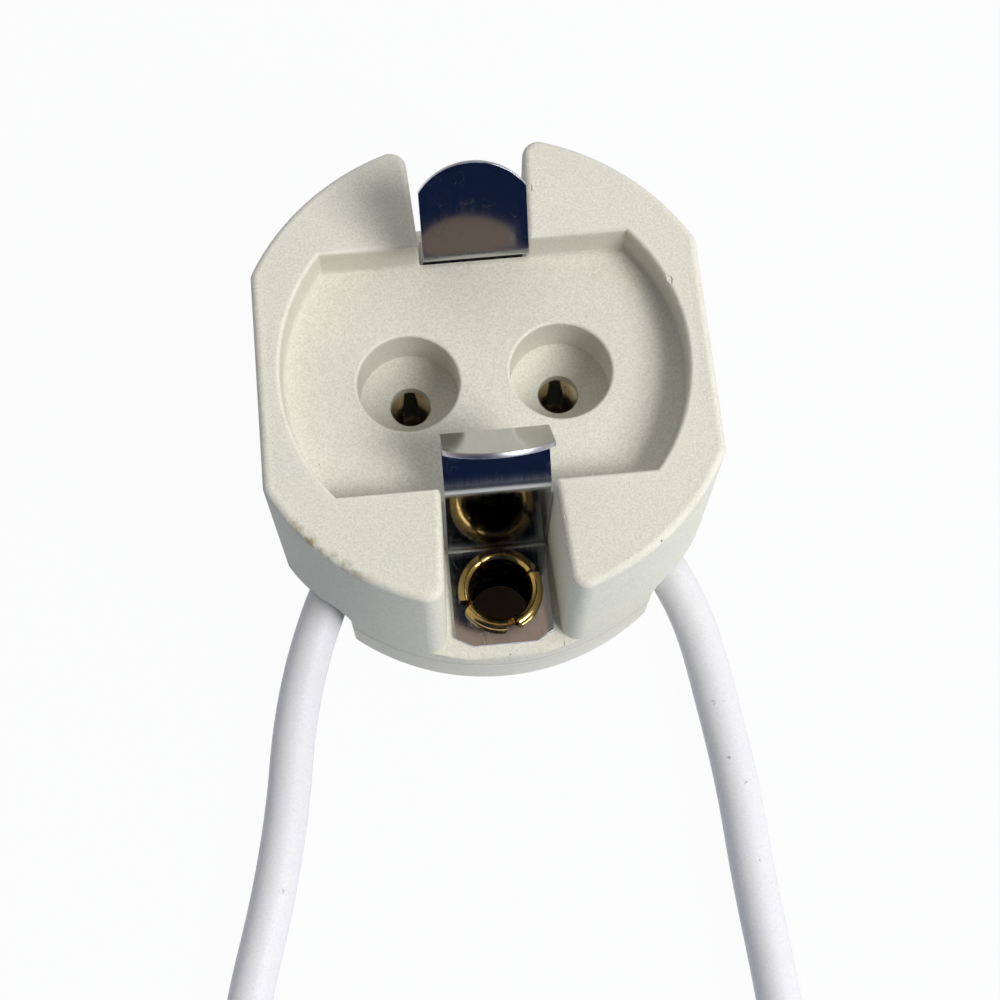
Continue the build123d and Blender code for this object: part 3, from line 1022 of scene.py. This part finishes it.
@dataclass
class SpringClip:
    """One stainless clip, with its sheared edges marked and a little rounded."""

    end: End
    edge_radius: float = 0.03 * MM
    foot_top: float = 7.6 * MM
    tab_bottom: float = 28.0 * MM
    tab_rise: Pair = (0.573, 0.819)
    nose: Pair = (6.75 * MM, 25.7 * MM)
    bend_length: float = 0.6 * MM
    flat_under: float = math.radians(0.4)
    sharp_over: float = 50.0

    tab_tilts: ClassVar[dict[End, float]] = {End.FRONT: math.radians(-1.5), End.BACK: math.radians(1.4)}

    @property
    def rise(self) -> Vector:
        """The way that the tab leans up and out from the nose."""
        return Vector((0.0, self.end.value * self.tab_rise[0], self.tab_rise[1]))

    def is_sheared(self, face: bmesh.types.BMFace) -> bool:
        """Whether a face was cut when the blank was sheared from the strip.

        Args:
            face: A face of the clip.

        Returns:
            True on the long sides, round the tab and round the foot's end.
        """
        normal = face.normal
        height = face.calc_center_median().z
        if height > self.tab_bottom:
            return abs(normal.dot(self.rise)) > 0.4 or abs(normal.x) > 0.4
        if height < self.foot_top:
            return abs(normal.z) < 0.5
        return abs(normal.x) > 0.5

    def tilt_tab(self, shape: bmesh.types.BMesh) -> None:
        """Lean the tab a little, as the press left it.

        Args:
            shape: The clip.
        """
        nose = Vector((0.0, self.end.value * self.nose[0], self.nose[1]))
        tab = [vert for vert in shape.verts if (vert.co - nose).dot(self.rise) > self.bend_length]
        lean = Matrix.Rotation(-self.end.value * self.tab_tilts[self.end], 3, "X")
        bmesh.ops.rotate(shape, cent=nose, matrix=lean, verts=tab)

    def build(self) -> bpy.types.Object:
        """Make the clip and stand it in for the CAD node.

        Returns:
            The piece.
        """
        node = f"clip_{self.end.ending}"
        shape = merged_copy(node)
        self.tilt_tab(shape)
        bmesh.ops.dissolve_limit(shape, angle_limit=self.flat_under, verts=shape.verts, edges=shape.edges)
        limit = math.radians(self.sharp_over)
        sharp = [edge for edge in shape.edges if edge.calc_face_angle(0.0) > limit]
        bmesh.ops.bevel(shape, geom=sharp, offset=self.edge_radius, segments=2, profile=0.5,
                        affect="EDGES", material=-1, clamp_overlap=True)
        shape.normal_update()
        layer = shape.faces.layers.float.new(SHEARED)
        for face in shape.faces:
            face[layer] = 1.0 if self.is_sheared(face) else 0.0
        name = f"spring_clip_{self.end.ending}"
        piece = new_piece(name, to_mesh(shape, name, self.sharp_over), STAINLESS)
        weigh_normals(piece)
        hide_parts(node)
        LOG.info("%s: %d faces", name, len(piece.data.polygons))
        return piece


@dataclass(frozen=True)
class Split:
    """A split in a rivet's rolled rim: its angle in degrees, and its width at the bore and outside."""

    angle: float
    inner: float
    outer: float

    def half_angle(self, radius: float, bore: float, reach: float) -> float:
        """Half the angle that the split takes out of the rim at some radius.

        Args:
            radius: Where it is asked, in metres.
            bore: The rim's inner radius.
            reach: The rim's outer radius.

        Returns:
            The angle in radians.
        """
        share = min(max((radius - bore) / (reach - bore), 0.0), 1.0)
        width = self.inner + share * (self.outer - self.inner)
        return width / (2 * radius)


@dataclass
class Eyelet:
    """A hollow rivet: a flat head, a tube, and a rim rolled over in petals that the setting tore apart."""

    end: End
    bore: float = 2.5 * MM
    wall: float = 0.4 * MM
    head_radius: float = 3.5 * MM
    head_bottom: float = 0.15 * MM
    head_top: float = 0.65 * MM
    petal_base: float = 7.3 * MM
    foot_top: float = 7.5 * MM
    reach: float = 3.52 * MM
    crest: float = 8.44 * MM
    petal_thickness: float = 0.30 * MM
    landing: float = 0.01 * MM
    curl_steps: int = 12
    turn_steps: int = 22
    barrel_steps: int = 64
    sharp_over: float = 45.0
    torn: float = math.radians(2.2)
    shorter: float = 0.05 * MM
    lower: float = 0.06 * MM
    lift: float = 0.05 * MM
    wave: float = 0.012 * MM
    splits: tuple[Split, ...] = (
        Split(25.0, 0.08 * MM, 0.72 * MM),
        Split(119.0, 0.06 * MM, 0.14 * MM),
        Split(200.0, 0.10 * MM, 1.05 * MM),
        Split(283.0, 0.22 * MM, 1.35 * MM),
    )

    @property
    def place(self) -> Vector:
        """The rivet's axis on the holder, from the record's mount."""
        mount = next(one for one in frame["record"]["mounts"] if one["name"] == f"rivet_{self.end.ending}")
        return Vector((mount["pos_m"][0], mount["pos_m"][1], 0.0))

    def barrel(self, shape: bmesh.types.BMesh) -> None:
        """Add the head and the tube.

        Args:
            shape: The bmesh to add to.
        """
        outside = self.bore + self.wall
        corners = (
            (self.bore, self.petal_base),
            (self.bore, self.head_bottom),
            (self.head_radius, self.head_bottom),
            (self.head_radius, self.head_top),
            (outside, self.head_top),
            (outside, self.petal_base),
        )
        self.spin_profile(shape, corners, 0.0, math.tau, self.barrel_steps)

    def spin_profile(self, shape: bmesh.types.BMesh, corners: Sequence[Pair], start: float,
                     sweep: float, steps: int) -> list[bmesh.types.BMVert]:
        """Turn a closed profile about the Z axis.

        Args:
            shape: The bmesh to add to.
            corners: The profile's corners as radius and height.
            start: The angle at which it starts.
            sweep: How far it turns.
            steps: In how many steps.

        Returns:
            The new vertices.
        """
        before = set(shape.verts)
        full = sweep > math.tau - 0.001
        verts = [shape.verts.new((radius, 0.0, height)) for radius, height in corners]
        edges = [shape.edges.new(pair) for pair in zip(verts, verts[1:] + verts[:1])]
        turn(shape, verts, start)
        caps = [] if full else [shape.faces.new(verts)]
        bmesh.ops.spin(shape, geom=[*verts, *edges, *caps], cent=ORIGIN, axis=(0, 0, 1), angle=sweep,
                       steps=steps, use_merge=full)
        return [vert for vert in shape.verts if vert not in before]

    def petal_profile(self, reach: float, crest: float) -> list[Pair]:
        """The section of a petal: up from the tube, over in a curl, and down on the foot.

        Args:
            reach: The petal's outer radius.
            crest: Its highest point.

        Returns:
            The section's corners as radius and height.
        """
        middle = (self.bore + reach) / 2
        radius = (reach - self.bore) / 2
        level = crest - radius
        inner = radius - self.petal_thickness
        angles = [math.pi * index / self.curl_steps for index in range(self.curl_steps + 1)]
        over = [(middle - radius * math.cos(angle), level + radius * math.sin(angle)) for angle in angles]
        under = [(middle + inner * math.cos(angle), level + inner * math.sin(angle)) for angle in angles]
        foot = self.foot_top + self.landing
        return [(self.bore, self.petal_base), *over, (reach, foot), (reach - self.petal_thickness, foot),
                *under, (self.bore + self.petal_thickness, self.petal_base)]

    def petal(self, shape: bmesh.types.BMesh, index: int) -> None:
        """Add the petal between a split and the next one.

        Args:
            shape: The bmesh to add to.
            index: The first split's place in the list.
        """
        first = self.splits[index]
        last = self.splits[(index + 1) % len(self.splits)]
        start = math.radians(first.angle)
        sweep = math.radians((last.angle - first.angle) % 360.0)
        draw = random.Random(7 * index + self.end.value)
        reach = self.reach - draw.uniform(0.0, self.shorter)
        crest = self.crest - draw.uniform(0.0, self.lower)
        steps = max(6, round(self.turn_steps * sweep / math.pi * 2))
        for vert in self.spin_profile(shape, self.petal_profile(reach, crest), start, sweep, steps):
            radius = math.hypot(vert.co.x, vert.co.y)
            share = ((math.atan2(vert.co.y, vert.co.x) - start) % math.tau) / sweep
            share = 0.0 if share > 1.5 else min(share, 1.0)
            low = start + first.half_angle(radius, self.bore, self.reach)
            high = start + sweep - last.half_angle(radius, self.bore, self.reach)
            level = vert.co.z
            low += self.torn * noise.noise(Vector((radius * 2200.0, level * 2600.0, index * 5.0)))
            high += self.torn * noise.noise(Vector((radius * 2400.0, level * 2300.0, index * 9.0 + 4.0)))
            angle = low + share * (high - low)
            lift = self.lift * max(0.0, abs(2 * share - 1) - 0.75) / 0.25
            wave = self.wave * noise.noise(Vector((angle * 3.0, index * 2.0, 0.0)))
            height = min(level + (lift + wave if level > self.foot_top else 0.0), self.crest + self.landing)
            vert.co = Vector((radius * math.cos(angle), radius * math.sin(angle), height))

    def build(self) -> bpy.types.Object:
        """Make the rivet and stand it in for the CAD node.

        Returns:
            The piece.
        """
        shape = bmesh.new()
        self.barrel(shape)
        for index in range(len(self.splits)):
            self.petal(shape, index)
        bmesh.ops.recalc_face_normals(shape, faces=shape.faces)
        if self.end is End.BACK:
            turn(shape, shape.verts, math.pi)
        bmesh.ops.translate(shape, vec=self.place, verts=shape.verts)
        name = f"hollow_rivet_{self.end.ending}"
        piece = new_piece(name, to_mesh(shape, name, self.sharp_over), BRASS)
        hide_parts(f"eyelet_{self.end.ending}")
        LOG.info("%s: %d faces", name, len(piece.data.polygons))
        return piece


@dataclass
class Lead:
    """One silicone lead, along the same listed points as its CAD tube."""

    side: Side
    diameter: float = 3.6 * MM
    pin_spacing: float = 12.0 * MM
    splay: float = math.radians(36.0)
    start: float = 7.0 * MM
    straight: float = 5.4 * MM
    start_height: float = 3.35 * MM
    table_height: float = 1.85 * MM
    curl_turn: float = math.radians(30.0)

    curl_steps: ClassVar[dict[Side, float]] = {Side.LEFT: 14.0 * MM, Side.RIGHT: 8.9 * MM}
    curl_counts: ClassVar[dict[Side, int]] = {Side.LEFT: 5, Side.RIGHT: 8}
    lengths: ClassVar[dict[Side, float]] = {Side.LEFT: 0.1438, Side.RIGHT: 0.1439}
    left_points: ClassVar[tuple[Triple, ...]] = (
        (-16.2, -16.2, 0.3),
        (-18.0, -22.7, 0),
        (-18.9, -29.5, 0),
        (-20.6, -37.0, 0),
        (-23.0, -44.6, 0),
        (-24.6, -53.0, 0),
        (-25.7, -60.5, 0),
        (-26.2, -68.6, 0),
        (-26.2, -78.0, 0),
    )
    right_points: ClassVar[tuple[Triple, ...]] = (
        (16.3, -16.4, 0.3),
        (17.3, -23.6, 0),
        (18.1, -31.0, 0),
        (18.3, -38.6, 0),
        (18.9, -46.5, 0),
        (19.2, -55.0, 0),
        (19.5, -62.0, 0),
        (19.6, -69.2, 0),
        (19.3, -78.0, 0),
    )

    def route(self) -> list[Vector]:
        """Control points: out of the channel, down to the table, forward and into the ring.

        Returns:
            The points, in metres.
        """
        sign = self.side.value
        points = []
        for distance in (self.start, self.start + self.straight):
            points.append(Vector((sign * (self.pin_spacing / 2 + distance * math.sin(self.splay)),
                                  -distance * math.cos(self.splay), self.start_height)))
        shown = self.left_points if self.side is Side.LEFT else self.right_points
        for x, y, z in shown:
            points.append(Vector((x * MM, y * MM, z * MM + self.table_height)))
        run = points[-1] - points[-2]
        heading = math.atan2(run.y, run.x)
        for _ in range(self.curl_counts[self.side]):
            heading -= sign * self.curl_turn
            step = self.curl_steps[self.side] * Vector((math.cos(heading), math.sin(heading), 0.0))
            points.append(points[-1] + step)
        return points

    def build(self, tip: bpy.types.Object) -> bpy.types.Object:
        """Args:
            tip: The tinned end, which goes with it. It is not used.

        Returns:
            The piece.
        """
        points = self.route()
        name = f"silicone_lead_{self.side.ending}"
        line = bpy.data.curves.new(name, "CURVE")
        line.dimensions = "3D"
        line.bevel_depth = self.diameter / 2
        line.bevel_resolution = 8
        line.use_fill_caps = True
        spline = line.splines.new("NURBS")
        spline.points.add(len(points) - 1)
        for knot, point in zip(spline.points, points):
            knot.co = (*point, 1.0)
        spline.order_u = 3
        spline.use_endpoint_u = True
        spline.resolution_u = 12
        line.materials.append(SILICONE.material())
        piece = add_object(name, line)
        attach(piece, BODY)
        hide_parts(f"lead_{self.side.ending}")
        LOG.info("%s: %d points", name, len(points))
        return piece


@dataclass
class TinnedEnd:
    """The stripped end of a lead: twisted strands under a thin coat of solder."""

    lead: Lead
    length: float = 6.0 * MM
    strand_radius: float = 0.15 * MM
    outer_strands: int = 12
    bundle_radius: float = 0.55 * MM
    twist: float = math.radians(250.0)
    steps: int = 40
    sharp_over: float = 50.0

    def strand(self, shape: bmesh.types.BMesh, away: float, angle: float) -> None:
        """Add one twisted strand about the Z axis.

        Args:
            shape: The bmesh to add to.
            away: How far from the axis it runs.
            angle: Where it starts.
        """
        made = bmesh.ops.create_circle(shape, cap_ends=True, radius=self.strand_radius, segments=8)
        verts = made["verts"]
        lean = math.atan2(self.twist * away, self.length)
        turn(shape, verts, -lean, "X")
        bmesh.ops.translate(shape, vec=(away, 0, 0), verts=verts)
        turn(shape, verts, angle)
        faces = {face for vert in verts for face in vert.link_faces}
        bmesh.ops.spin(shape, geom=[*faces], cent=ORIGIN, axis=(0, 0, 1), angle=self.twist,
                       steps=self.steps, dvec=(0, 0, self.length / self.steps))

    def build(self) -> bpy.types.Object:
        """Make the end, straight on from the lead's last point.

        Returns:
            The piece.
        """
        shape = bmesh.new()
        core = bmesh.ops.create_cone(shape, cap_ends=True, segments=24, radius1=self.bundle_radius,
                                     radius2=self.bundle_radius, depth=self.length * 0.995)
        bmesh.ops.translate(shape, vec=(0, 0, self.length / 2), verts=core["verts"])
        away = self.bundle_radius - self.strand_radius * 0.2
        for index in range(self.outer_strands):
            self.strand(shape, away, math.tau * index / self.outer_strands)
        points = self.lead.route()
        heading = (points[-1] - points[-2]).normalized()
        onward = Vector((0, 0, 1)).rotation_difference(heading).to_matrix()
        bmesh.ops.rotate(shape, cent=ORIGIN, matrix=onward, verts=shape.verts)
        bmesh.ops.translate(shape, vec=points[-1], verts=shape.verts)
        bmesh.ops.recalc_face_normals(shape, faces=shape.faces)
        name = f"tinned_strands_{self.lead.side.ending}"
        piece = new_piece(name, to_mesh(shape, name, self.sharp_over), TINNED_COPPER)
        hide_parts(f"tinned_end_{self.lead.side.ending}")
        LOG.info("%s: %d faces", name, len(piece.data.polygons))
        return piece


@dataclass
class Studio:
    """The white table, the soft light, the room round it and the camera."""

    eye: Triple = (-5.46, -52.34, 146.57)
    right: Triple = (0.99518, -0.09733, 0.01206)
    up: Triple = (0.08856, 0.94464, 0.31591)
    back: Triple = (-0.04215, -0.31332, 0.94871)
    lens: float = 63.29
    sensor: float = 36.0
    near_clip: float = 5 * MM
    far_clip: float = 20.0
    aim: Triple = (0.0, 0.0, 12 * MM)
    key_place: Triple = (0.400, -0.335, 0.540)
    key_size: float = 0.34
    key_power: float = 4.60
    key_colour: Triple = (1.0, 0.985, 0.945)
    table_size: float = 4.0
    table_drop: float = 0.02 * MM
    mirrored_radii: Pair = (0.10, 0.16)
    table_colour: Triple = (0.52, 0.57, 0.67)
    table_glow: float = 0.96
    bore_shade: Triple = (0.11, 0.11, 0.12)
    bore_place: float = 14.25 * MM
    bore_radii: Pair = (2.9 * MM, 3.1 * MM)
    left_fill: Triple = (0.33, 0.34, 0.36)
    right_fill: Triple = (0.62, 0.61, 0.59)
    front_fill: Triple = (0.03, 0.032, 0.038)
    back_fill: Triple = (0.60, 0.60, 0.59)
    front_room: Triple = (0.010, 0.021, 0.066)
    ceiling: Triple = (0.53, 0.39, 0.305)
    back_room: Triple = (0.36, 0.36, 0.345)
    camera_body: Triple = (0.002, 0.003, 0.006)
    ceiling_span: Pair = (-0.50, 0.05)
    back_room_span: Pair = (0.35, 0.80)
    camera_span: Pair = (0.22, 0.36)
    across_span: Pair = (-0.6, 0.6)
    front_span: Pair = (-0.70, 0.0)
    back_span: Pair = (0.10, 0.70)
    shaded_span: Pair = (0.25, 0.55)

    def camera(self) -> None:
        """Place the camera where the photograph was taken from."""
        data = bpy.data.cameras.new("camera")
        data.lens = self.lens
        data.sensor_width = self.sensor
        data.clip_start = self.near_clip
        data.clip_end = self.far_clip
        camera = add_object("camera", data)
        axes = Matrix((self.right, self.up, self.back)).transposed().to_4x4()
        camera.matrix_world = Matrix.Translation(Vector(self.eye) * MM) @ axes
        bpy.context.scene.camera = camera

    def key_light(self) -> None:
        """Add the square soft light, which faces the holder from the front right."""
        data = bpy.data.lights.new("key_light", "AREA")
        data.size = self.key_size
        data.energy = self.key_power
        data.color = self.key_colour
        lamp = add_object("key_light", data)
        facing = (Vector(self.aim) - Vector(self.key_place)).to_track_quat("-Z", "Y")
        lamp.matrix_world = Matrix.Translation(Vector(self.key_place)) @ facing.to_matrix().to_4x4()

    def table_material(self) -> bpy.types.Material:
        """The table's finish: white and faintly shaded to the camera, white and small to the metal.

        Returns:
            The material.
        """
        material = bpy.data.materials.new("white_table")
        material.use_nodes = True
        graph = Graph(material.node_tree)
        place = graph.object_place()
        x, y, _ = graph.axes(place)
        folded = graph.joined(X=x, Y=graph.size_of(y))
        covered = graph.near(folded, (0.0, self.bore_place, 0.0), *self.bore_radii)
        around = graph.maths("MULTIPLY_ADD", graph.near(place, ORIGIN, *self.mirrored_radii), 0.97, 0.03)
        shaded = graph.mix(covered, self.table_colour, self.bore_shade)
        plain = graph.add("ShaderNodeBsdfDiffuse", Color=shaded)
        glow = graph.add("ShaderNodeEmission", Color=WHITE, Strength=1.0)
        mirrored = graph.add("ShaderNodeEmission", Color=WHITE,
                             Strength=graph.times(around, graph.minus(1.0, covered)))
        path = graph.add("ShaderNodeLightPath").outputs
        lit = graph.ramp(covered, 0.0, 1.0, self.table_glow, 0.0)
        shown = self.either_shader(graph, graph.times(path["Is Camera Ray"], lit), plain, glow)
        whole = self.either_shader(graph, path["Is Glossy Ray"], shown, mirrored)
        graph.add("ShaderNodeOutputMaterial", Surface=whole.outputs[0])
        return material

    @staticmethod
    def either_shader(graph: Graph, share: Value, first: bpy.types.Node,
                      second: bpy.types.Node) -> bpy.types.Node:
        """Mix two shaders.

        Args:
            graph: The material's graph.
            share: How much of the second one shows.
            first: A shader.
            second: A shader.

        Returns:
            The mixing node.
        """
        node = graph.add("ShaderNodeMixShader")
        for socket, value in zip(node.inputs, (share, first.outputs[0], second.outputs[0])):
            graph.put(socket, value)
        return node

    def table(self) -> None:
        """The white table, which shows only a faint shadow."""
        shape = bmesh.new()
        bmesh.ops.create_grid(shape, x_segments=1, y_segments=1, size=self.table_size / 2)
        bmesh.ops.translate(shape, vec=(0, 0, -self.table_drop), verts=shape.verts)
        mesh = bpy.data.meshes.new("table")
        shape.to_mesh(mesh)
        shape.free()
        mesh.materials.append(self.table_material())
        table = add_object("table", mesh)

    def surroundings(self) -> None:
        """White to the camera, a fill that falls off to the front, and a dark room in the metal."""
        world = bpy.data.worlds.new("studio")
        bpy.context.scene.world = world
        world.use_nodes = True
        graph = Graph(world.node_tree)
        direction = graph.add("ShaderNodeTexCoord").outputs["Generated"]
        path = graph.add("ShaderNodeLightPath").outputs
        x, y, _ = graph.axes(direction)
        room = graph.mix(graph.ramp(y, *self.ceiling_span), self.front_room, self.ceiling)
        room = graph.mix(graph.ramp(y, *self.back_room_span), room, self.back_room)
        room = graph.mix(graph.near(direction, self.back, *self.camera_span), room, self.camera_body)
        fill = graph.mix(graph.ramp(x, *self.across_span), self.left_fill, self.right_fill)
        fill = graph.mix(graph.ramp(y, *self.front_span), self.front_fill, fill)
        fill = graph.mix(graph.ramp(y, *self.back_span), fill, self.back_fill)
        fill = graph.mix(graph.near(direction, self.back, *self.shaded_span), fill, self.camera_body)
        colour = graph.mix(path["Is Glossy Ray"], fill, room)
        colour = graph.mix(path["Is Camera Ray"], colour, WHITE)
        background = graph.add("ShaderNodeBackground", Color=colour)
        graph.add("ShaderNodeOutputWorld", Surface=background.outputs[0])

    def build(self) -> None:
        """Set up the whole studio."""
        bpy.context.scene.view_settings.view_transform = "Standard"
        self.camera()
        self.table()
        self.key_light()
        self.surroundings()
        LOG.info("studio ready")


def main() -> None:
    """Light the holder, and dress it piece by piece."""
    Studio().build()
    for side in Side:
        lead = Lead(side)
        lead.build(TinnedEnd(lead).build())
    CeramicBody().build()
    for end in End:
        SpringClip(end).build()
        Eyelet(end).build()
    for side in Side:
        dress_node(f"contact_{side.ending}", CONTACT_BRASS)
        dress_node(f"contact_spring_{side.ending}", SPRING_STEEL)
        dress_node(f"conductor_{side.ending}", TINNED_COPPER)
    dress_node("backing_plate", MICA)


if __name__ == "__main__":
    main()
